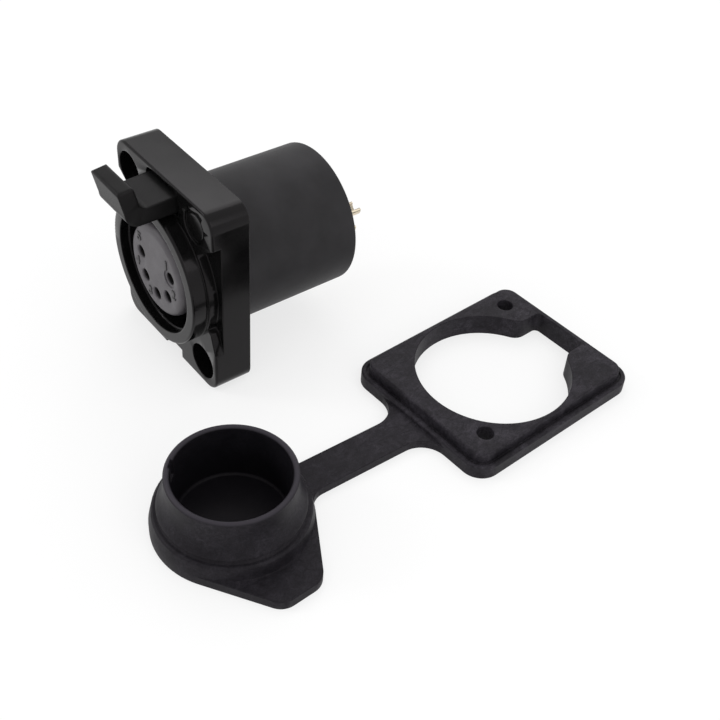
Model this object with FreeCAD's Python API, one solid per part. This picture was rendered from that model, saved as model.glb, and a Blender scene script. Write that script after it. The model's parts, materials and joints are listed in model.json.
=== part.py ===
import FreeCAD, Part
import math
import os

# Panel-mount five-pole socket with a push latch, and the rubber cover that seals it.
# Millimetres. The origin is the centre of the flange's back face, which lies on the panel.
# X points right seen from the front, Y into the panel and Z up, so the front faces -Y.

# Clearances
slip = 0.05
moving_gap = 0.3
cut_past = 1.0

# Flange
flange_side_wall = 1.7
flange_thickness = 6.2
flange_corner = 2.7
edge_break = 0.35

# Collar, bore and the tube behind the flange
bore_radius = 9.55
collar_wall = 2.05
collar_stand = 2.45
collar_edge = 0.3
lead_in_depth = 1.5
lead_in_step = 0.25
shoulder_step = 0.4
shoulder_depth = 7.0
tube_wall = 0.7

# Screw holes, on a diagonal
screw_side_margin = 3.8
screw_end_margin = 4.2
screw_hole_radius = 1.6
counterbore_radius = 2.95
counterbore_depth = 3.6

# Bare round badge seat
badge_side_margin = 4.7
badge_end_margin = 3.75
badge_radius = 2.6
badge_depth = 0.4
badge_rise = 0.25
badge_moat = 0.45

# Side recesses in the flange's front layer
side_recess_depth = 1.45
side_recess_margin = 0.5
side_recess_top_angle = 35.8
side_recess_top_height = 7.97
side_recess_foot_height = 8.8
side_recess_foot_step = 1.2
side_recess_foot_rise = 3.8
side_recess_foot_slope = 0.5
side_recess_inner = 5.7

# Small recess for a blade at the flange's bottom edge
pry_width = 5.0
pry_height = 1.8
pry_depth = 1.2
pry_shift = 0.7

# Sleeve behind the flange
sleeve_wall = 0.8
sleeve_length = 21.2
sleeve_edge = 0.4
sleeve_seat_depth = 0.4

# Seal ring between the tube and the sleeve
seal_groove_depth = 0.65
seal_groove_width = 1.0
seal_groove_place = 1.6

# Front insulator
insert_radius = 7.5
insert_setback = 0.5
insert_edge = 1.2
insert_flange_thickness = 1.5
key_width = 2.6
key_depth = 0.6
key_shift = 0.6

# Contacts
contact_circle = 4.25
contact_angles = [16.0, -40.5, -90.0, 220.5, 164.0]
contact_radius = 1.15
contact_bore = 0.8
contact_bore_depth = 9.0
contact_slit = 0.3
contact_setback = 1.85
shoulder_radius = 1.6
shoulder_length = 1.5
cup_radius = 1.25
cup_bore = 0.9
cup_depth = 4.0
cup_open_length = 3.0
cup_open_height = 0.25
cup_reach = 5.5
entry_radius = 1.0
entry_flare = 0.15
marked_contact_radius = 1.45
marked_contact_depth = 0.2

# Rear insulator, its ring, earth tag and rear seal
carrier_thickness = 5.0
ring_thickness = 2.0
ring_hole_radius = 6.5
ring_slot_width = 1.6
ring_slot_depth = 0.8
tag_thickness = 0.3
tag_hole_radius = 8.0
tag_width = 2.2
tag_angle = 150.0
tag_radius = 8.6
tag_reach = 3.6
tag_eye_radius = 0.6
tag_rim_gap = 0.2
rear_seal_recess = 1.5

# Front seal ring at the bottom of the mating groove
front_seal_thickness = 1.2

# Latch lever
latch_width = 7.6
latch_collar_gap = 0.45
latch_height = 6.4
latch_front = 15.0
latch_lean = 0.9
latch_top_slope = 0.3
latch_plate_thickness = 2.45
latch_plate_edge = 0.45
latch_toe_radius = 2.2
latch_neck_radius = 1.5
latch_neck_lean = 0.6
arm_front_height = 2.55
arm_window_height = 2.85
pivot_setback = 2.2
pivot_rise = 1.25
pin_radius = 0.75
pin_seat_length = 1.6
boss_wall = 0.55
hook_width = 3.2
hook_length = 1.2
hook_reach = 1.9
hook_bite = 0.35
hook_ramp = 0.45

# Latch window
window_side_gap = 0.5
window_head_gap = 0.9
window_floor_gap = 0.35
window_bridge = 0.4
window_corner = 1.2
window_back_wall = 0.55

# Latch spring
spring_wire = 0.2
spring_turns = 3.0
spring_pitch = 0.5
spring_turn_steps = 12
spring_wire_sides = 8
spring_pin_gap = 0.2
spring_slot_gap = 0.15
spring_front_leg = 3.2
spring_back_leg = 0.9

# Rubber cover: place on the table, beside the socket
cover_x = 35.3
cover_y = 31.5
cover_turn = 2.9

# Rubber cover: gasket frame
gasket_side_inset = 0.3
gasket_end_inset = 0.1
gasket_thickness = 3.67
gasket_corner = 2.1
gasket_edge = 0.3
skirt_reach = 1.25
skirt_thickness = 2.2
lip_groove_width = 0.5
lip_groove_depth = 0.35
gasket_opening_gap = 0.8
opening_drop = 0.65
feature_shift = 0.1
notch_gap = 1.1
notch_wall = 0.85
notch_corner = 0.9
notch_mouth_corner = 2.4
gasket_hole_radius = 1.35

# Rubber cover: strap
strap_width = 5.7
strap_thickness = 1.4
strap_flare = 4.2
strap_foot_flare = 3.0
strap_length = 20.6
strap_swing = 4.0

# Rubber cover: cap
cap_foot_step = 1.1
cap_foot_height = 3.6
cap_foot_taper = 0.4
cap_floor = 0.8
cap_wall_flare = 1.23
cap_waist_height = 8.0
cap_height = 10.1
cap_plug_gap = 0.48
cap_plug_wall = 0.85
cap_groove_depth = 0.4
cap_draft = 0.15
cap_edge = 0.3
cap_key_angle = -138.0
cap_key_width = 1.6
cap_key_depth = 0.3
cap_key_length = 3.0

# Rubber cover: pull tab
tab_length = 4.8
tab_side_angle = 31.0
tab_strap_side_angle = 33.2
tab_corner = 2.8
tab_thickness = 1.5

# Places that follow from the sizes above
flange_front = -flange_thickness
collar_front = flange_front - collar_stand
collar_radius = bore_radius + collar_wall
flange_width = 2 * (collar_radius + flange_side_wall)
latch_bottom = collar_radius + latch_collar_gap
latch_top = latch_bottom + latch_height
window_half = latch_width / 2 + window_side_gap
window_floor = latch_bottom - window_floor_gap
window_top = latch_bottom + arm_window_height + window_head_gap
window_back = -window_back_wall
flange_height = 2 * (window_top + window_bridge)
screw_x = flange_width / 2 - screw_side_margin
screw_z = flange_height / 2 - screw_end_margin
badge_x = flange_width / 2 - badge_side_margin
badge_z = flange_height / 2 - badge_end_margin
seat_bore_radius = bore_radius + shoulder_step
tube_radius = seat_bore_radius + tube_wall
sleeve_bore_radius = tube_radius + slip
sleeve_radius = sleeve_bore_radius + sleeve_wall
insert_front = collar_front + insert_setback
insert_back = shoulder_depth + insert_flange_thickness
carrier_back = insert_back + carrier_thickness
tube_end = carrier_back + ring_thickness
tag_back = tube_end + tag_thickness
cup_end = sleeve_length + cup_reach
table_z = -flange_height / 2
pivot_y = -pivot_setback
pivot_z = latch_bottom + pivot_rise
boss_radius = pin_radius + slip + boss_wall
pin_half = window_half + pin_seat_length
spring_radius = pin_radius + spring_pin_gap + spring_wire
spring_half = spring_turns * spring_pitch / 2 + spring_wire
gasket_width = flange_width - 2 * gasket_side_inset
gasket_height = flange_height - 2 * gasket_end_inset
skirt_height = gasket_height + 2 * skirt_reach
cap_plug_radius = bore_radius - cap_plug_gap
cap_wall_radius = cap_plug_radius + cap_wall_flare
cap_foot_radius = cap_wall_radius + cap_foot_step
tab_reach = cap_foot_radius + tab_length


def at(x, y, z):
    return FreeCAD.Vector(x, y, z)


def block(x0, x1, y0, y1, z0, z1):
    return Part.makeBox(x1 - x0, y1 - y0, z1 - z0, at(x0, y0, z0))


def rod(radius, y0, y1, x=0.0, z=0.0):
    return Part.makeCylinder(radius, y1 - y0, at(x, y0, z), at(0, 1, 0))


def tube(outer, inner, y0, y1, x=0.0, z=0.0):
    return rod(outer, y0, y1, x, z).cut(rod(inner, y0 - cut_past, y1 + cut_past, x, z))


def cone(radius0, radius1, y0, y1, x=0.0, z=0.0):
    return Part.makeCone(radius0, radius1, y1 - y0, at(x, y0, z), at(0, 1, 0))


def face_of(points):
    return Part.Face(Part.makePolygon(points + [points[0]]))


def front_profile(points, y0, y1):
    face = face_of([at(x, y0, z) for x, z in points])
    return face.extrude(at(0, y1 - y0, 0))


def side_profile(points, half_width):
    face = face_of([at(-half_width, y, z) for y, z in points])
    return face.extrude(at(2 * half_width, 0, 0))


def flat_plate(width, height, corner, thickness, x=0.0, y=0.0, z=0.0):
    """A plate with round corners that lies in the XY plane."""
    plate = Part.makeBox(width, height, thickness, at(x - width / 2, y - height / 2, z))
    return plate.makeFillet(corner, edges_along(plate, at(0, 0, 1)))


def edges_along(solid, direction):
    chosen = []
    for edge in solid.Edges:
        run = edge.lastVertex().Point - edge.firstVertex().Point
        if run.Length > 0 and run.cross(direction).Length < 1e-6 * run.Length:
            chosen.append(edge)
    return chosen


def edges_on_plane(solid, axis, value):
    """Edges whose whole box lies on one plane across X, Y or Z."""
    chosen = []
    for edge in solid.Edges:
        box = edge.BoundBox
        low = (box.XMin, box.YMin, box.ZMin)[axis]
        high = (box.XMax, box.YMax, box.ZMax)[axis]
        if abs(low - value) < 1e-4 and abs(high - value) < 1e-4:
            chosen.append(edge)
    return chosen


def round_edges_at(solid, axis, value, radius):
    return solid.makeFillet(radius, edges_on_plane(solid, axis, value))


def mirrored(solid):
    return solid.mirror(at(0, 0, 0), at(1, 0, 0))


def contact_places():
    places = []
    for angle in contact_angles:
        turn = math.radians(angle)
        places.append((contact_circle * math.cos(turn), contact_circle * math.sin(turn)))
    return places


# Flange housing


def flange_plate():
    half_width = flange_width / 2
    half_height = flange_height / 2
    plate = block(-half_width, half_width, flange_front, 0, -half_height, half_height)
    plate = plate.makeFillet(flange_corner, edges_along(plate, at(0, 1, 0)))
    return round_edges_at(plate, 1, flange_front, edge_break)


def side_recess():
    """The right-hand recess: outside a circle round the collar, between two walls."""
    floor_y = flange_front + side_recess_depth
    front_y = flange_front - cut_past
    edge_x = flange_width / 2
    far_x = edge_x + cut_past
    inner_x = side_recess_inner
    slope = math.tan(math.radians(side_recess_top_angle))
    ring_radius = collar_radius + side_recess_margin
    wall_x = math.sqrt(ring_radius ** 2 - side_recess_top_height ** 2)
    foot_z = -side_recess_foot_height
    foot_top_z = foot_z + side_recess_foot_rise
    points = [
        (inner_x, side_recess_top_height - slope * (wall_x - inner_x)),
        (far_x, side_recess_top_height + slope * (far_x - wall_x)),
        (far_x, foot_z),
        (edge_x, foot_z),
        (edge_x - side_recess_foot_step, foot_top_z),
        (inner_x, foot_top_z + side_recess_foot_slope * (edge_x - side_recess_foot_step - inner_x)),
    ]
    recess = front_profile(points, front_y, floor_y)
    return recess.cut(rod(ring_radius, front_y - cut_past, floor_y + cut_past))


def screw_hole(x, z):
    through = rod(screw_hole_radius, flange_front - cut_past, cut_past, x, z)
    head = rod(counterbore_radius, flange_front - cut_past, flange_front + counterbore_depth, x, z)
    return through.fuse(head)


def badge_seat():
    floor_y = flange_front + badge_depth
    recess = rod(badge_radius, flange_front - cut_past, floor_y, badge_x, badge_z)
    boss = rod(badge_radius - badge_moat, floor_y - badge_rise, floor_y, badge_x, badge_z)
    return recess.cut(boss)


def latch_window():
    opening = block(
        -window_half, window_half, flange_front - cut_past, window_back, window_floor, window_top
    )
    top_edges = []
    for edge in edges_along(opening, at(0, 1, 0)):
        if edge.BoundBox.ZMin > window_top - cut_past:
            top_edges.append(edge)
    return opening.makeFillet(window_corner, top_edges)


def hook_slot():
    half = hook_width / 2 + moving_gap
    front_y = flange_front
    back_y = pivot_y - hook_reach + moving_gap
    return block(-half, half, front_y, back_y, bore_radius - cut_past, window_floor + cut_past)


def pin_seat():
    """Cross slot for the pin, open at the back, where the panel closes it."""
    seat_radius = pin_radius + slip
    half = pin_half + slip
    round_end = Part.makeCylinder(seat_radius, 2 * half, at(-half, pivot_y, pivot_z), at(1, 0, 0))
    way_in = block(-half, half, pivot_y, cut_past, pivot_z - seat_radius, pivot_z + seat_radius)
    return round_end.fuse(way_in)


def pry_recess():
    floor_z = -flange_height / 2
    return block(
        pry_shift - pry_width / 2,
        pry_shift + pry_width / 2,
        flange_front - cut_past,
        flange_front + pry_depth,
        floor_z - cut_past,
        floor_z + pry_height,
    )


def flange_housing():
    body = flange_plate()
    recess = side_recess()
    body = body.cut([recess, mirrored(recess)])
    collar = rod(collar_radius, collar_front, flange_front + cut_past)
    collar = round_edges_at(collar, 1, collar_front, collar_edge)
    back_tube = rod(tube_radius, -cut_past, tube_end)
    body = body.fuse([collar, back_tube])
    body = body.cut(
        [
            rod(bore_radius, collar_front - cut_past, tube_end),
            rod(bore_radius + lead_in_step, collar_front - cut_past, collar_front + lead_in_depth),
            rod(seat_bore_radius, shoulder_depth, tube_end + cut_past),
            screw_hole(-screw_x, screw_z),
            screw_hole(screw_x, -screw_z),
            badge_seat(),
            latch_window(),
            hook_slot(),
            pin_seat(),
            pry_recess(),
            seal_groove(),
            sleeve_seat(),
        ]
    )
    return body.removeSplitter()


# Sleeve and seal ring


def sleeve_seat():
    return tube(sleeve_radius + slip, tube_radius, -sleeve_seat_depth, cut_past)


def seal_groove():
    start = seal_groove_place
    end = start + seal_groove_width
    return tube(tube_radius + cut_past, tube_radius - seal_groove_depth, start, end)


def rear_sleeve():
    shell = rod(sleeve_radius, -sleeve_seat_depth, sleeve_length)
    shell = round_edges_at(shell, 1, sleeve_length, sleeve_edge)
    # The bevel keeps the full outside radius clear of the seat in the flange.
    shell = shell.makeChamfer(sleeve_seat_depth, edges_on_plane(shell, 1, -sleeve_seat_depth))
    return shell.cut(rod(sleeve_bore_radius, -cut_past, sleeve_length + cut_past))


def sleeve_seal_ring():
    section = (seal_groove_depth + slip) / 2
    middle_y = seal_groove_place + seal_groove_width / 2
    ring_radius = tube_radius - seal_groove_depth + section
    return Part.makeTorus(ring_radius, section, at(0, middle_y, 0), at(0, 1, 0))


# Insulators


def contact_entry(x, z):
    flare_end = insert_front + entry_flare
    entry = rod(entry_radius, insert_front - cut_past, contact_front() + slip, x, z)
    flare = cone(entry_radius + entry_flare, entry_radius, insert_front, flare_end, x, z)
    way = rod(contact_radius + slip, contact_front() - slip, insert_back + cut_past, x, z)
    return entry.fuse([flare, way])


def contact_front():
    return insert_front + contact_setback


def contact_insert():
    body = rod(insert_radius, insert_front, insert_back)
    body = round_edges_at(body, 1, insert_front, insert_edge)
    flange = rod(seat_bore_radius - slip, shoulder_depth, insert_back)
    body = body.fuse(flange)
    cuts = [contact_entry(x, z) for x, z in contact_places()]
    cuts.append(
        block(
            key_shift - key_width / 2,
            key_shift + key_width / 2,
            insert_front - cut_past,
            shoulder_depth - front_seal_thickness,
            -insert_radius - cut_past,
            -insert_radius + key_depth,
        )
    )
    x, z = contact_places()[0]
    ring_end = insert_front + marked_contact_depth
    cuts.append(tube(marked_contact_radius, entry_radius, insert_front - cut_past, ring_end, x, z))
    return body.cut(cuts)


def contact_carrier():
    body = rod(seat_bore_radius - slip, insert_back, carrier_back)
    cuts = []
    for x, z in contact_places():
        pocket_end = insert_back + shoulder_length + slip
        cuts.append(rod(shoulder_radius + slip, insert_back - cut_past, pocket_end, x, z))
        cuts.append(rod(cup_radius + slip, insert_back, carrier_back + cut_past, x, z))
    return body.cut(cuts)


def retaining_ring():
    ring = tube(seat_bore_radius - slip, ring_hole_radius, carrier_back, tube_end)
    half = ring_slot_width / 2
    reach = seat_bore_radius + cut_past
    slot = block(-reach, reach, tube_end - ring_slot_depth, tube_end + cut_past, -half, half)
    return ring.cut(slot)


def front_seal_ring():
    start = shoulder_depth - front_seal_thickness
    return tube(bore_radius - slip, insert_radius + slip, start, shoulder_depth)


# Contacts, earth tag and rear seal


def contact(x, z):
    front_y = contact_front()
    shoulder_end = insert_back + shoulder_length
    body = rod(contact_radius, front_y, insert_back)
    shoulder = rod(shoulder_radius, insert_back, shoulder_end)
    cup = rod(cup_radius, shoulder_end, cup_end)
    body = body.fuse([shoulder, cup])
    half_slit = contact_slit / 2
    slit_end = front_y + contact_bore_depth - cut_past
    open_start = cup_end - cup_open_length
    wide = cup_radius + slip
    cup_side = block(-wide, wide, open_start, cup_end + cut_past, cup_open_height, wide)
    body = body.cut(
        [
            rod(contact_bore, front_y - cut_past, front_y + contact_bore_depth),
            block(-contact_radius, contact_radius, front_y - cut_past, slit_end, -half_slit, half_slit),
            rod(cup_bore, cup_end - cup_depth, cup_end + cut_past),
            cup_side,
        ]
    )
    body.translate(at(x, 0, z))
    return body


def tag_blade(grow, start, end):
    """The tag's upright blade, also the shape of its way through the rear seal."""
    half = tag_width / 2 + grow
    inner = tag_radius - tag_thickness / 2 - grow
    outer = tag_radius + tag_thickness / 2 + grow
    blade = block(inner, outer, start, end, -half, half)
    blade.rotate(at(0, 0, 0), at(0, 1, 0), -tag_angle)
    return blade


def ground_tag():
    end = sleeve_length + tag_reach
    washer = tube(sleeve_bore_radius - tag_rim_gap, tag_hole_radius, tube_end, tag_back)
    blade = tag_blade(0, tube_end, end)
    eye_y = end - 2 * tag_eye_radius
    eye = Part.makeCylinder(tag_eye_radius, 2 * tag_radius, at(0, eye_y, 0), at(1, 0, 0))
    eye.rotate(at(0, 0, 0), at(0, 1, 0), -tag_angle)
    return washer.fuse(blade).cut(eye)


def rear_seal_disc():
    back = sleeve_length - rear_seal_recess
    disc = rod(sleeve_bore_radius - slip, tag_back, back)
    cuts = [tag_blade(slip, tag_back - cut_past, back + cut_past)]
    for x, z in contact_places():
        cuts.append(rod(cup_radius + slip, tag_back - cut_past, back + cut_past, x, z))
    return disc.cut(cuts)


# Latch


def latch_outline():
    """Side outline of the finger plate and the arm, without the pivot boss."""
    toe = latch_toe_radius
    neck = latch_neck_radius
    bend = 1 - math.sqrt(0.5)
    foot_y = -latch_front + latch_lean
    top_front = at(0, -latch_front, latch_top - latch_top_slope)
    top_back = at(0, -latch_front + latch_plate_thickness, latch_top)
    toe_top = at(0, foot_y, latch_bottom + toe)
    toe_middle = at(0, foot_y + toe * bend, latch_bottom + toe * bend)
    toe_end = at(0, foot_y + toe, latch_bottom)
    arm_bottom = at(0, pivot_y, latch_bottom)
    arm_back = at(0, pivot_y, pivot_z + boss_radius)
    arm_window = at(0, flange_front, latch_bottom + arm_window_height)
    neck_y = top_back.y + latch_neck_lean
    neck_z = latch_bottom + arm_front_height
    neck_end = at(0, neck_y + neck, neck_z)
    neck_middle = at(0, neck_y + neck * bend, neck_z + neck * bend)
    neck_top = at(0, neck_y, neck_z + neck)
    edges = [
        Part.makeLine(top_back, top_front),
        Part.makeLine(top_front, toe_top),
        Part.Arc(toe_top, toe_middle, toe_end).toShape(),
        Part.makeLine(toe_end, arm_bottom),
        Part.makeLine(arm_bottom, arm_back),
        Part.makeLine(arm_back, arm_window),
        Part.makeLine(arm_window, neck_end),
        Part.Arc(neck_end, neck_middle, neck_top).toShape(),
        Part.makeLine(neck_top, top_back),
    ]
    return Part.Face(Part.Wire(edges))


def plate_edges(body):
    """The finger plate's two upper edges across its width, and its corners beside them."""
    chosen = []
    for edge in body.Edges:
        if edge.BoundBox.ZMin > latch_top - latch_top_slope - slip:
            chosen.append(edge)
    return chosen


def latch_hook():
    back_y = pivot_y - hook_reach
    front_y = back_y - hook_length
    tip_z = bore_radius - hook_bite
    root_z = latch_bottom + cut_past
    points = [
        (back_y, root_z),
        (front_y, root_z),
        (front_y, tip_z + hook_ramp),
        (front_y + hook_ramp, tip_z),
        (back_y, tip_z),
    ]
    return side_profile(points, hook_width / 2)


def latch_lever():
    half = latch_width / 2
    body = latch_outline().extrude(at(latch_width, 0, 0))
    body = body.makeFillet(latch_plate_edge, plate_edges(body))
    body.translate(at(-half, 0, 0))
    boss = Part.makeCylinder(boss_radius, latch_width, at(-half, pivot_y, pivot_z), at(1, 0, 0))
    body = body.fuse([boss, latch_hook()])
    pin_bore = Part.makeCylinder(
        pin_radius + slip, latch_width + 2 * cut_past, at(-half - cut_past, pivot_y, pivot_z), at(1, 0, 0)
    )
    slot_half = spring_half + spring_slot_gap
    slot_reach = spring_radius + spring_wire + moving_gap
    slot_start = at(-slot_half, pivot_y, pivot_z)
    spring_room = Part.makeCylinder(slot_reach, 2 * slot_half, slot_start, at(1, 0, 0))
    spring_way = block(
        -slot_half, slot_half, pivot_y, cut_past, pivot_z - slot_reach, pivot_z + slot_reach
    )
    leg_floor = pivot_z + spring_radius - spring_wire
    leg_way = block(
        spring_half - 2 * spring_wire - spring_slot_gap,
        spring_half + spring_slot_gap,
        pivot_y - spring_front_leg - spring_slot_gap,
        pivot_y,
        leg_floor,
        latch_top,
    )
    return body.cut([pin_bore, spring_room, spring_way, leg_way]).removeSplitter()


def latch_pin():
    return Part.makeCylinder(pin_radius, 2 * pin_half, at(-pin_half, pivot_y, pivot_z), at(1, 0, 0))


def spring_path():
    """Middle line of the spring's wire: back leg, coil from top to top, front leg."""
    run = spring_turns * spring_pitch
    top_z = pivot_z + spring_radius
    wall_y = window_back - spring_wire
    points = [
        at(-run / 2, wall_y, top_z + spring_back_leg),
        at(-run / 2, wall_y, top_z + spring_wire),
        at(-run / 2, wall_y - spring_wire, top_z),
    ]
    steps = int(spring_turns * spring_turn_steps)
    for step in range(steps + 1):
        turn = 2 * math.pi * step / spring_turn_steps
        x = -run / 2 + run * step / steps
        y = pivot_y - spring_radius * math.sin(turn)
        points.append(at(x, y, pivot_z + spring_radius * math.cos(turn)))
    points.append(at(run / 2, pivot_y - spring_front_leg, top_z))
    return points


def latch_spring():
    """Torsion spring round the pin, one leg on the arm and one on the window's back wall."""
    points = spring_path()
    sections = []
    for index, point in enumerate(points):
        ahead = points[min(index + 1, len(points) - 1)]
        behind = points[max(index - 1, 0)]
        along = (ahead - behind).normalize()
        outward = along.cross(at(1, 0, 0)).normalize()
        across = along.cross(outward)
        ring = []
        for side in range(spring_wire_sides):
            turn = 2 * math.pi * side / spring_wire_sides
            offset = outward * (spring_wire * math.cos(turn)) + across * (spring_wire * math.sin(turn))
            ring.append(point + offset)
        sections.append(Part.makePolygon(ring + [ring[0]]))
    return Part.makeLoft(sections, True, True)


# Rubber cover


def fillet_where(slab, radius, chosen):
    """Round the upright edges of a flat slab that the given test picks."""
    edges = []
    for edge in edges_along(slab, at(0, 0, 1)):
        if chosen(edge.firstVertex().Point):
            edges.append(edge)
    return slab.makeFillet(radius, edges)


def base_sheet():
    """Skirt, strap and the sole of the cap in one flat sheet, with round flares at the strap's ends."""
    skirt_width = gasket_width + 2 * skirt_reach
    skirt_edge_y = -skirt_height / 2
    centre = cap_centre()
    skirt = flat_plate(skirt_width, skirt_height, gasket_corner + skirt_reach, strap_thickness)
    run = strap_length + cap_foot_radius
    bar = Part.makeBox(strap_width, run + skirt_reach, strap_thickness, at(-strap_width / 2, -run, 0))
    bar.rotate(at(0, 0, 0), at(0, 0, 1), -strap_swing)
    bar.translate(at(feature_shift, skirt_edge_y, 0))
    sole = Part.makeCylinder(cap_foot_radius, strap_thickness, centre)
    sheet = skirt.fuse([bar, sole]).removeSplitter()

    def at_skirt(place):
        return abs(place.y - skirt_edge_y) < slip and abs(place.x - feature_shift) < strap_width

    def at_cap(place):
        reach = math.hypot(place.x - centre.x, place.y - centre.y)
        return abs(reach - cap_foot_radius) < slip and place.y > centre.y + strap_width

    sheet = fillet_where(sheet, strap_flare, at_skirt)
    return fillet_where(sheet, strap_foot_flare, at_cap)


def gasket_frame():
    rim = flat_plate(
        gasket_width + 2 * skirt_reach, skirt_height, gasket_corner + skirt_reach, skirt_thickness
    )
    rim = round_edges_at(rim, 2, skirt_thickness, gasket_edge)
    groove = flat_plate(
        gasket_width + 2 * lip_groove_width,
        gasket_height + 2 * lip_groove_width,
        gasket_corner + lip_groove_width,
        lip_groove_depth + cut_past,
        z=skirt_thickness - lip_groove_depth,
    )
    plate = flat_plate(gasket_width, gasket_height, gasket_corner, gasket_thickness)
    plate = round_edges_at(plate, 2, gasket_thickness, gasket_edge)
    return rim.cut(groove).fuse(plate)


def gasket_cuts():
    depth = gasket_thickness + 2 * cut_past
    opening_radius = collar_radius + gasket_opening_gap
    centre = at(feature_shift, -opening_drop, -cut_past)
    opening = Part.makeCylinder(opening_radius, depth, centre)
    notch_half = latch_width / 2 + notch_gap
    notch_end = gasket_height / 2 - notch_wall
    notch = Part.makeBox(2 * notch_half, notch_end, depth, at(feature_shift - notch_half, 0, -cut_past))
    notch_edges = []
    for edge in edges_along(notch, at(0, 0, 1)):
        if edge.BoundBox.YMax > notch_end - cut_past:
            notch_edges.append(edge)
    notch = notch.makeFillet(notch_corner, notch_edges)
    way = opening.fuse(notch).removeSplitter()
    mouth_edges = []
    for edge in edges_along(way, at(0, 0, 1)):
        place = edge.firstVertex().Point
        if abs(abs(place.x - feature_shift) - notch_half) < 1e-4 and place.y < opening_radius:
            mouth_edges.append(edge)
    way = way.makeFillet(notch_mouth_corner, mouth_edges)
    cuts = [way]
    for side in (-1, 1):
        place = at(side * screw_x, -side * screw_z, -cut_past)
        cuts.append(Part.makeCylinder(gasket_hole_radius, depth, place))
    return cuts


def cap_centre():
    """Cap centre in the cover's own frame, at the end of the swung strap."""
    run = strap_length + cap_foot_radius
    turn = math.radians(strap_swing)
    start_y = -skirt_height / 2
    return at(feature_shift - run * math.sin(turn), start_y - run * math.cos(turn), 0)


def cap_wall_arc(wall_z):
    """Hollow curve of the cap's outside, from its groove up to its straight plug."""
    rise = cap_waist_height - wall_z
    bow = (cap_wall_flare ** 2 + rise ** 2) / (2 * cap_wall_flare)
    half_turn = math.asin(rise / bow) / 2
    start = at(cap_wall_radius, 0, wall_z)
    middle_x = cap_plug_radius + bow * (1 - math.cos(half_turn))
    middle = at(middle_x, 0, cap_waist_height - bow * math.sin(half_turn))
    return Part.Arc(start, middle, at(cap_plug_radius, 0, cap_waist_height)).toShape()


def cap_body():
    foot_top_radius = cap_foot_radius - cap_foot_taper
    groove_z = cap_foot_height + cap_groove_depth
    wall_z = groove_z + cap_groove_depth
    cup_radius_top = cap_plug_radius - cap_plug_wall
    foot_points = [
        (0, 0),
        (cap_foot_radius, 0),
        (cap_foot_radius, strap_thickness),
        (foot_top_radius, cap_foot_height - cap_edge),
        (foot_top_radius - cap_edge, cap_foot_height),
        (cap_wall_radius, cap_foot_height),
        (cap_wall_radius - cap_groove_depth, groove_z),
        (cap_wall_radius, wall_z),
    ]
    cup_points = [
        (cap_plug_radius, cap_waist_height),
        (cap_plug_radius, cap_height - cap_edge),
        (cap_plug_radius - cap_edge, cap_height),
        (cup_radius_top + cap_edge, cap_height),
        (cup_radius_top, cap_height - cap_edge),
        (cup_radius_top - cap_draft, cap_floor + cap_edge),
        (cup_radius_top - cap_draft - cap_edge, cap_floor),
        (0, cap_floor),
        (0, 0),
    ]
    foot = Part.makePolygon([at(r, 0, z) for r, z in foot_points])
    cup = Part.makePolygon([at(r, 0, z) for r, z in cup_points])
    outline = Part.Wire(foot.Edges + [cap_wall_arc(wall_z)] + cup.Edges)
    body = Part.Face(outline).revolve(at(0, 0, 0), at(0, 0, 1), 360)
    key_reach = cup_radius_top + cap_key_depth
    key = Part.makeBox(key_reach, cap_key_width, cap_key_length + cut_past)
    key.translate(at(0, -cap_key_width / 2, cap_height - cap_key_length))
    key.rotate(at(0, 0, 0), at(0, 0, 1), cap_key_angle)
    return body.cut(key)


def tab_side(side, angle):
    """Two points of one side of the tab: where it touches the cap's foot, and its end."""
    turn = math.radians(angle)
    touch = at(cap_foot_radius * math.sin(turn), side * cap_foot_radius * math.cos(turn), 0)
    end_y = touch.y - side * (tab_reach - touch.x) * math.tan(turn)
    return touch, at(tab_reach, end_y, 0)


def pull_tab():
    low_touch, low_end = tab_side(-1, tab_side_angle)
    high_touch, high_end = tab_side(1, tab_strap_side_angle)
    outline = face_of([at(0, 0, 0), low_touch, low_end, high_end, high_touch])
    slab = outline.extrude(at(0, 0, tab_thickness))

    def at_end(place):
        return abs(place.x - tab_reach) < slip

    return fillet_where(slab, tab_corner, at_end)


def sealing_cover():
    tab = pull_tab()
    tab.translate(cap_centre())
    # The strap and the tab stay outside the cup, whose floor is lower than their tops.
    cup_room = Part.makeCylinder(cap_wall_radius, cap_height, cap_centre())
    flat_parts = base_sheet().fuse(tab).cut(cup_room)
    cap = cap_body()
    cap.translate(cap_centre())
    cover = gasket_frame().fuse([flat_parts, cap]).cut(gasket_cuts())
    cover = cover.removeSplitter()
    cover.rotate(at(0, 0, 0), at(0, 0, 1), cover_turn)
    cover.translate(at(cover_x, cover_y, table_z))
    return cover


def save(name, shape):
    solids = shape.Solids
    if len(solids) != 1:
        print(name, "has", len(solids), "solids")
    if not shape.isValid():
        print(name, "is not valid")
    shape.exportStep("parts/" + name + ".step")


os.makedirs("parts", exist_ok=True)
save("flange_housing", flange_housing())
save("rear_sleeve", rear_sleeve())
save("sleeve_seal_ring", sleeve_seal_ring())
save("contact_insert", contact_insert())
save("contact_carrier", contact_carrier())
save("retaining_ring", retaining_ring())
save("front_seal_ring", front_seal_ring())
for number, (contact_x, contact_z) in enumerate(contact_places(), start=1):
    save("contact_" + str(number), contact(contact_x, contact_z))
save("ground_tag", ground_tag())
save("rear_seal_disc", rear_seal_disc())
save("latch_lever", latch_lever())
save("latch_pin", latch_pin())
save("latch_spring", latch_spring())
save("sealing_cover", sealing_cover())
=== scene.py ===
import json
import math

import bpy
from mathutils import Matrix, Vector

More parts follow.
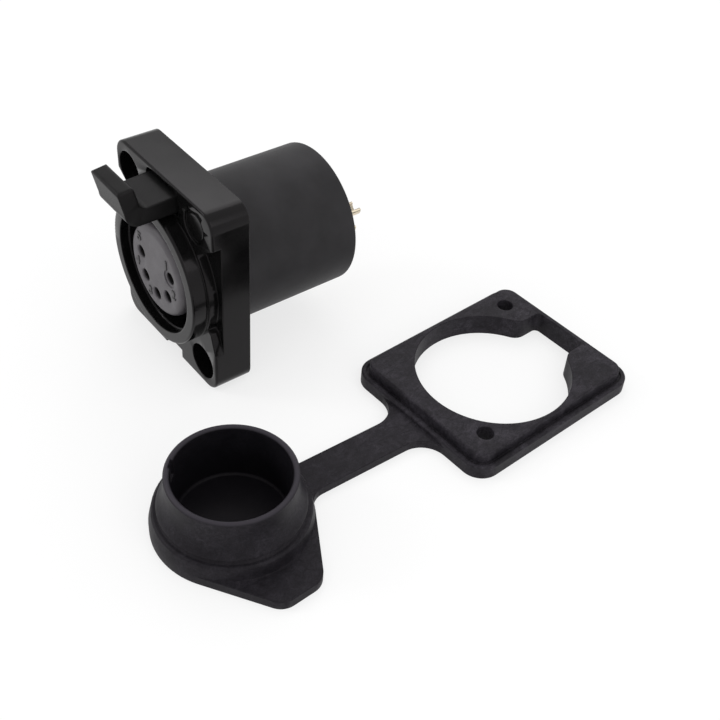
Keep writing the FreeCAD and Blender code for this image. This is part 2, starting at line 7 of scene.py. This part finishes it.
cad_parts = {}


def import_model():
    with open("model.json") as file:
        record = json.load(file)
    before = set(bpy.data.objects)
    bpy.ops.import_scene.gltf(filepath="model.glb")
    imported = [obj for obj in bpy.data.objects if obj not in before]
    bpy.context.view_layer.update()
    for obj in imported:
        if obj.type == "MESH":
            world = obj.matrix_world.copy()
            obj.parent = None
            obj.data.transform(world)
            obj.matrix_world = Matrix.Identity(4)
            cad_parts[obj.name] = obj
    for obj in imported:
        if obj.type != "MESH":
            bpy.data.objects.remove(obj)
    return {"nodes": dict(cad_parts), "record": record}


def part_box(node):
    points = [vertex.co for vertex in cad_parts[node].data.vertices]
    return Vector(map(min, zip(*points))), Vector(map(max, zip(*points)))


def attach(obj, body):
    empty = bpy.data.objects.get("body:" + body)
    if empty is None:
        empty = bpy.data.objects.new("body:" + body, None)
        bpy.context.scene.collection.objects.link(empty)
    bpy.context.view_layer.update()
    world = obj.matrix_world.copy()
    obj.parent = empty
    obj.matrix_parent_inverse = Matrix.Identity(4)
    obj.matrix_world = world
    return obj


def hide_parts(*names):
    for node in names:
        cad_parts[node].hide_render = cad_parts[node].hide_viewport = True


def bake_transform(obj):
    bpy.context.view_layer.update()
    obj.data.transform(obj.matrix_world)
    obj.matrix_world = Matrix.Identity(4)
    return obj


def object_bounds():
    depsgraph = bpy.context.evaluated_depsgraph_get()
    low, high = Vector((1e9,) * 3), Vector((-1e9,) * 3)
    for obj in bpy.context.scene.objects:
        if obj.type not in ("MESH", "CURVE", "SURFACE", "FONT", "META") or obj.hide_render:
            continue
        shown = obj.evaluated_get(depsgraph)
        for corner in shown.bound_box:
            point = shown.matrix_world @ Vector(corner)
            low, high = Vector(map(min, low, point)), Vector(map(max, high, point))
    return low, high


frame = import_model()
nodes = frame["nodes"]
cad_low, cad_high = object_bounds()

MM = 0.001

insert_face_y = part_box("contact_insert")[0][1]
insert_bare_radius = 5.9
insert_rim_radius = 6.1
# Depths below the insert face, in millimetres, where the painted shade in the contact ways begins and where
# it is full.
way_shade_from = 0.2
way_shade_to = 0.5

cap_centre = (35.67, -17.81)
cap_inside_radius = 8.1
cap_wall_radius = 8.5
bloom_y_from = -18.0
bloom_y_to = 20.0
cap_rim_bloom = 0.42
cap_rim_from = 0.4
cap_rim_to = 0.1
cover_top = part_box("sealing_cover")[1][2]

edge_angle = 32.0
edge_segments = 2
soft_edges = {
    "flange_housing": 0.12,
    "latch_lever": 0.16,
    "sealing_cover": 0.14,
    "rear_sleeve": 0.12,
    "contact_insert": 0.06,
}

digit_size = 2.1
digit_raise = 0.07
digit_spread = 0.05
digit_bevel = 0.03
digit_sink = 0.02
digit_places = {
    "5": (-4.32, 3.80),
    "4": (-5.30, -1.10),
    "3": (-1.98, -4.95),
    "2": (5.15, -1.21),
    "1": (3.42, 3.20),
}

floor_half = 3000.0
floor_white_share = 0.7
world_lit = 0.93
world_seen = 1.0

camera_place = (120.65, -71.01, 104.93)
camera_right = (0.61162, 0.78871, 0.06202)
camera_ahead = (-0.5603, 0.48717, -0.66987)
camera_lens = 56.1
camera_sensor = 36.0
camera_near = 5.0
camera_far = 20000.0


def mm(x, y, z):
    return Vector((x * MM, y * MM, z * MM))


def put_in_scene(name, data):
    thing = bpy.data.objects.new(name, data)
    bpy.context.scene.collection.objects.link(thing)
    return thing


def smooth(mesh):
    mesh.polygons.foreach_set("use_smooth", [True] * len(mesh.polygons))


# Materials


class Mat:
    """A principled material whose colour, roughness and bump come from procedural textures.

    Sizes, depths and radii are given in millimetres.
    """

    def __init__(self, name):
        self.material = bpy.data.materials.new(name)
        self.material.use_nodes = True
        self.tree = self.material.node_tree
        self.shader = self.tree.nodes["Principled BSDF"]
        self.where = self.tree.nodes.new("ShaderNodeTexCoord").outputs["Object"]
        self.normal = None
        self.shader.inputs["Specular Tint"].default_value = (1.0, 0.94, 0.985, 1.0)

    def add(self, kind, **sockets):
        node = self.tree.nodes.new(kind)
        for key, value in sockets.items():
            node.inputs[key.replace("_", " ")].default_value = value
        return node

    def link(self, a, b):
        self.tree.links.new(a, b)

    def feed(self, value, socket):
        """Put a number or a colour on a socket, or link a node's output to it."""
        if isinstance(value, bpy.types.NodeSocket):
            self.link(value, socket)
        elif isinstance(value, tuple):
            socket.default_value = (*value, 1.0)
        else:
            socket.default_value = value

    def set(self, **sockets):
        for key, value in sockets.items():
            self.feed(value, self.shader.inputs[key.replace("_", " ")])

    def combine(self, kind, a, b=0.0):
        node = self.add("ShaderNodeMath")
        node.operation = kind
        self.feed(a, node.inputs[0])
        self.feed(b, node.inputs[1])
        return node.outputs[0]

    def product(self, first, *others):
        for other in others:
            first = self.combine("MULTIPLY", first, other)
        return first

    def along(self, axis):
        node = self.add("ShaderNodeSeparateXYZ")
        self.link(self.where, node.inputs["Vector"])
        return node.outputs[axis]

    def distance(self, axes, centre=(0.0, 0.0)):
        """Distance in metres from a centre line, measured along two axes."""
        squares = []
        for axis, middle in zip(axes, centre):
            offset = self.combine("SUBTRACT", self.along(axis), middle * MM)
            squares.append(self.combine("MULTIPLY", offset, offset))
        return self.combine("SQRT", self.combine("ADD", *squares))

    def noise(self, size, detail=4.0, rough=0.55, stretch=(1, 1, 1), distortion=0.0):
        mapping = self.add("ShaderNodeMapping", Scale=stretch)
        self.link(self.where, mapping.inputs["Vector"])
        node = self.add("ShaderNodeTexNoise", Scale=1.0 / (size * MM), Detail=detail, Roughness=rough)
        node.inputs["Distortion"].default_value = distortion
        self.link(mapping.outputs["Vector"], node.inputs["Vector"])
        return node.outputs["Fac"]

    def ramp(self, value, stops):
        node = self.add("ShaderNodeValToRGB")
        for element, (place, tone) in zip(node.color_ramp.elements, stops):
            if isinstance(tone, float):
                tone = (tone, tone, tone)
            element.position = place
            element.color = (*tone, 1.0)
        self.link(value, node.inputs["Fac"])
        return node.outputs["Color"]

    def spread(self, value, low, high, start=0.3, end=0.7):
        node = self.add("ShaderNodeMapRange", From_Min=start, From_Max=end, To_Min=low, To_Max=high)
        self.link(value, node.inputs["Value"])
        return node.outputs["Result"]

    def blend(self, share, a, b):
        node = self.add("ShaderNodeMix")
        node.data_type = "RGBA"
        self.link(share, node.inputs["Factor"])
        self.feed(a, node.inputs[6])
        self.feed(b, node.inputs[7])
        return node.outputs[2]

    def use_normal(self, node):
        self.normal = node.outputs["Normal"]
        self.link(self.normal, self.shader.inputs["Normal"])

    def round_edges(self, radius):
        """Soften the shading of sharp edges; the shape stays as it is."""
        node = self.add("ShaderNodeBevel", Radius=radius * MM)
        node.samples = 6
        self.use_normal(node)

    def bump(self, value, depth, strength=1.0):
        node = self.add("ShaderNodeBump", Strength=strength, Distance=depth * MM)
        self.link(value, node.inputs["Height"])
        if self.normal is not None:
            self.link(self.normal, node.inputs["Normal"])
        self.use_normal(node)


def housing_paint():
    m = Mat("housing_paint")
    broad = m.noise(6.0, 3.0)
    fine = m.noise(0.2, 3.0)
    m.round_edges(0.25)
    m.set(Base_Color=m.ramp(broad, [(0.3, 0.0030), (0.7, 0.0045)]))
    m.set(Roughness=m.spread(broad, 0.12, 0.2), Specular_IOR_Level=0.17)
    m.bump(m.noise(2.2, 2.0), 0.005, 0.4)
    m.bump(fine, 0.0006, 0.5)
    return m.material


def latch_paint():
    m = Mat("latch_paint")
    broad = m.noise(3.0, 3.0)
    fine = m.noise(0.14, 3.0)
    m.round_edges(0.5)
    m.set(Base_Color=m.ramp(broad, [(0.3, 0.005), (0.7, 0.008)]))
    m.set(Roughness=m.spread(fine, 0.34, 0.46), Specular_IOR_Level=0.12)
    m.bump(fine, 0.003, 0.6)
    return m.material


def sleeve_plastic():
    m = Mat("sleeve_plastic")
    broad = m.noise(7.0, 3.0)
    fine = m.noise(0.22, 4.0, 0.7)
    turned = m.noise(0.5, 2.0, 0.5, (0.03, 6.0, 0.03))
    m.round_edges(0.25)
    m.set(Base_Color=m.ramp(broad, [(0.3, (0.024, 0.0235, 0.0245)), (0.7, (0.034, 0.033, 0.035))]))
    m.set(Roughness=m.spread(fine, 0.4, 0.52), Specular_IOR_Level=0.08)
    m.bump(turned, 0.002, 0.4)
    m.bump(fine, 0.004, 0.6)
    return m.material


def insulator_plastic():
    """Grey plastic, with painted shade inside the contact ways."""
    m = Mat("insulator_plastic")
    broad = m.noise(2.5, 3.0)
    fine = m.noise(0.15, 3.0)
    face = m.ramp(broad, [(0.3, (0.070, 0.066, 0.071)), (0.7, (0.092, 0.087, 0.094))])
    # Painted shade: the walls of the contact ways turn near black from a little below the face, in place of
    # the shade deep in the holes.
    shade_from = insert_face_y + way_shade_from * MM
    shade_to = insert_face_y + way_shade_to * MM
    depth = m.spread(m.along("Y"), 0, 1, shade_from, shade_to)
    inner = m.spread(m.distance("XZ"), 1, 0, insert_bare_radius * MM, insert_rim_radius * MM)
    m.set(Base_Color=m.blend(m.product(depth, inner), face, (0.006, 0.006, 0.006)))
    m.round_edges(0.15)
    m.set(Roughness=m.spread(fine, 0.4, 0.52), Specular_IOR_Level=0.3)
    m.bump(fine, 0.004, 0.6)
    return m.material


def metal(name, tone, dark_share, size, stretch, stops, rough, rough_more, depth):
    """Bare or plated metal with fine drawn streaks."""
    m = Mat(name)
    streak = m.noise(size, 3.0, 0.6, stretch)
    dark = tuple(dark_share * c for c in tone)
    m.set(Base_Color=m.ramp(streak, [(stops[0], dark), (stops[1], tone)]), Metallic=1.0)
    m.set(Roughness=m.spread(streak, rough, rough + rough_more))
    m.bump(streak, depth, 0.5)
    return m.material


def gold(name, tone, rough):
    return metal(name, tone, 0.72, 0.35, (1.0, 0.12, 1.0), (0.3, 0.62), rough, 0.14, 0.003)


def steel(name, tone, rough):
    return metal(name, tone, 0.7, 0.3, (0.15, 1.0, 1.0), (0.3, 0.7), rough, 0.15, 0.002)


def rubber(name, low, high, chalk, cover, rough):
    """Black rubber with a pale bloom that lies in cloudy patches and fine rubbed streaks."""
    m = Mat(name)
    m.round_edges(0.25)
    cloud = m.noise(4.5, 6.0, 0.66, distortion=0.5)
    streak = m.noise(0.9, 6.0, 0.72, (1.0, 0.55, 1.0), 1.2)
    grain = m.noise(0.2, 5.0, 0.75)
    y_from, y_to = bloom_y_from * MM, bloom_y_to * MM
    bloom = m.product(
        m.spread(cloud, 0.3, 1, 0.36, 0.64),
        m.spread(streak, 0.25, 1, 0.34, 0.66),
        m.spread(grain, 0.35, 1, 0.35, 0.65),
        m.spread(m.along("Y"), 0.45 * cover, 0.85 * cover, y_from, y_to),
        m.spread(m.distance("XY", cap_centre), 0.1, 1, cap_inside_radius * MM, cap_wall_radius * MM),
    )
    rim_from = cover_top - cap_rim_from * MM
    rim_to = cover_top - cap_rim_to * MM
    bloom = m.combine("MAXIMUM", bloom, m.spread(m.along("Z"), 0, cap_rim_bloom, rim_from, rim_to))
    base = m.ramp(grain, [(0.25, low), (0.75, high)])
    m.set(Base_Color=m.blend(bloom, base, chalk))
    m.set(Roughness=m.spread(cloud, rough, rough + 0.14), Specular_IOR_Level=0.12)
    m.bump(m.noise(1.2, 3.0), 0.02, 0.35)
    m.bump(grain, 0.010, 0.8)
    return m.material


def seal_rubber():
    return rubber("seal_rubber", (0.010, 0.010, 0.011), (0.018, 0.018, 0.019), (0.05, 0.05, 0.055), 0.4, 0.5)


def cover_rubber():
    low = (0.0030, 0.0027, 0.0036)
    high = (0.0052, 0.0047, 0.0064)
    return rubber("cover_rubber", low, high, (0.078, 0.071, 0.086), 0.88, 0.44)


# The numbers are the insert's own plastic; their dark colour is painted shade, standing in for the shade
# along their raised edges.
def number_painted_shade():
    m = Mat("number_painted_shade")
    m.set(Base_Color=m.ramp(m.noise(0.3, 3.0), [(0.3, 0.018), (0.7, 0.034)]), Roughness=0.5)
    return m.material


def shows_white(tree):
    """One where a ray comes from the camera, a mirror reflection or through glass."""
    path = tree.nodes.new("ShaderNodeLightPath")
    white = path.outputs["Is Camera Ray"]
    for kind in ("Is Glossy Ray", "Is Transmission Ray"):
        either = tree.nodes.new("ShaderNodeMath")
        either.operation = "MAXIMUM"
        tree.links.new(white, either.inputs[0])
        tree.links.new(path.outputs[kind], either.inputs[1])
        white = either.outputs[0]
    return white


def mix_to_surface(tree, share, a, b, surface):
    mix = tree.nodes.new("ShaderNodeMixShader")
    tree.links.new(share, mix.inputs[0])
    tree.links.new(a.outputs[0], mix.inputs[1])
    tree.links.new(b.outputs[0], mix.inputs[2])
    tree.links.new(mix.outputs[0], surface)


def paper():
    """White floor: partly lit, so that it keeps a shadow, and partly plain white."""
    m = Mat("floor_white")
    soft = m.noise(60.0, 2.0)
    m.set(Base_Color=m.ramp(soft, [(0.3, 0.92), (0.7, 0.94)]), Roughness=0.9, Specular_IOR_Level=0.1)
    white = m.add("ShaderNodeEmission", Strength=1.0)
    share = m.combine("MULTIPLY", shows_white(m.tree), floor_white_share)
    mix_to_surface(m.tree, share, m.shader, white, m.tree.nodes["Material Output"].inputs["Surface"])
    return m.material


materials = {
    "housing_paint": housing_paint(),
    "latch_paint": latch_paint(),
    "sleeve_plastic": sleeve_plastic(),
    "insulator_plastic": insulator_plastic(),
    "contact_gold": gold("contact_gold", (0.80, 0.71, 0.54), 0.2),
    "tag_brass": gold("tag_brass", (0.78, 0.60, 0.32), 0.26),
    "ring_metal": steel("ring_metal", (0.62, 0.62, 0.64), 0.28),
    "pin_steel": steel("pin_steel", (0.60, 0.60, 0.61), 0.2),
    "seal_rubber": seal_rubber(),
    "cover_rubber": cover_rubber(),
}
slots = {row["node"]: row["material_slot"] for row in frame["record"]["subparts"]}


def dress(node):
    """Give a CAD node its material, smooth shading and, where listed, slightly soft edges."""
    part = nodes[node]
    part.data.materials.clear()
    part.data.materials.append(materials[slots[node]])
    smooth(part.data)
    weld = part.modifiers.new("weld", "WELD")
    weld.merge_threshold = 1e-6
    if node in soft_edges:
        bevel = part.modifiers.new("soft_edges", "BEVEL")
        bevel.width = soft_edges[node] * MM
        bevel.segments = edge_segments
        bevel.limit_method = "ANGLE"
        bevel.angle_limit = math.radians(edge_angle)
    level = part.modifiers.new("normals", "WEIGHTED_NORMAL")
    level.keep_sharp = True
    level.weight = 100


for name in nodes:
    dress(name)


# The spring as a smooth-shaded copy of the CAD spring, which is hidden


def winding_spring():
    coil = put_in_scene("spring_wire", nodes["latch_spring"].data.copy())
    smooth(coil.data)
    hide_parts("latch_spring")
    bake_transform(coil)


winding_spring()


# Pin numbers, raised on the insulator's face


def pin_number(digit, x, z, shade_paint):
    curve = bpy.data.curves.new("number_" + digit, "FONT")
    curve.body = digit
    curve.size = digit_size * MM
    curve.extrude = digit_raise * MM
    curve.offset = digit_spread * MM
    curve.bevel_depth = digit_bevel * MM
    curve.align_x = "CENTER"
    curve.align_y = "CENTER"
    curve.materials.append(shade_paint)
    mark = put_in_scene("number_" + digit, curve)
    place = Vector((x * MM, insert_face_y - digit_sink * MM, z * MM))
    mark.matrix_world = Matrix.Translation(place) @ Matrix.Rotation(math.radians(90), 4, "X")
    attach(mark, "socket")


# Painted shade: the numbers get the dark material instead of the insert's grey.
number_shade_paint = number_painted_shade()
for digit, (x, z) in digit_places.items():
    pin_number(digit, x, z, number_shade_paint)


# Floor, light and camera


def floor():
    mesh = bpy.data.meshes.new("floor")
    half = floor_half * MM
    z = cad_low[2]
    corners = [(-half, -half, z), (half, -half, z), (half, half, z), (-half, half, z)]
    mesh.from_pydata(corners, [], [(0, 1, 2, 3)])
    mesh.materials.append(paper())
    put_in_scene("floor", mesh)


def area_light(name, place, target, side, power):
    data = bpy.data.lights.new(name, "AREA")
    data.shape = "RECTANGLE"
    data.size = side * MM
    data.size_y = side * MM
    data.energy = power
    lamp = put_in_scene(name, data)
    lamp.location = mm(*place)
    aim = (mm(*target) - mm(*place)).normalized()
    lamp.rotation_euler = aim.to_track_quat("-Z", "Y").to_euler()


def background(tree, strength):
    node = tree.nodes.new("ShaderNodeBackground")
    node.inputs["Color"].default_value = (1.0, 1.0, 1.0, 1.0)
    node.inputs["Strength"].default_value = strength
    return node


def world():
    sky = bpy.data.worlds.new("sky")
    bpy.context.scene.world = sky
    sky.use_nodes = True
    tree = sky.node_tree
    tree.nodes.clear()
    out = tree.nodes.new("ShaderNodeOutputWorld")
    lit = background(tree, world_lit)
    seen = background(tree, world_seen)
    mix_to_surface(tree, shows_white(tree), lit, seen, out.inputs["Surface"])


def camera():
    data = bpy.data.cameras.new("camera")
    data.lens = camera_lens
    data.sensor_width = camera_sensor
    data.clip_start = camera_near * MM
    data.clip_end = camera_far * MM
    eye = put_in_scene("camera", data)
    right = Vector(camera_right).normalized()
    ahead = Vector(camera_ahead).normalized()
    up = right.cross(ahead).normalized()
    turn = Matrix((right, up, -ahead)).transposed().to_4x4()
    eye.matrix_world = Matrix.Translation(mm(*camera_place)) @ turn
    bpy.context.scene.camera = eye


floor()
world()
area_light("key", (-300, 260, 460), (10, 10, -5), 320, 0.5)
area_light("edge", (-285, -345, 245), (10, 0, -5), 120, 0.42)
area_light("side", (420, 80, 330), (10, 0, -5), 300, 0.3)
camera()
bpy.context.scene.view_settings.view_transform = "Standard"
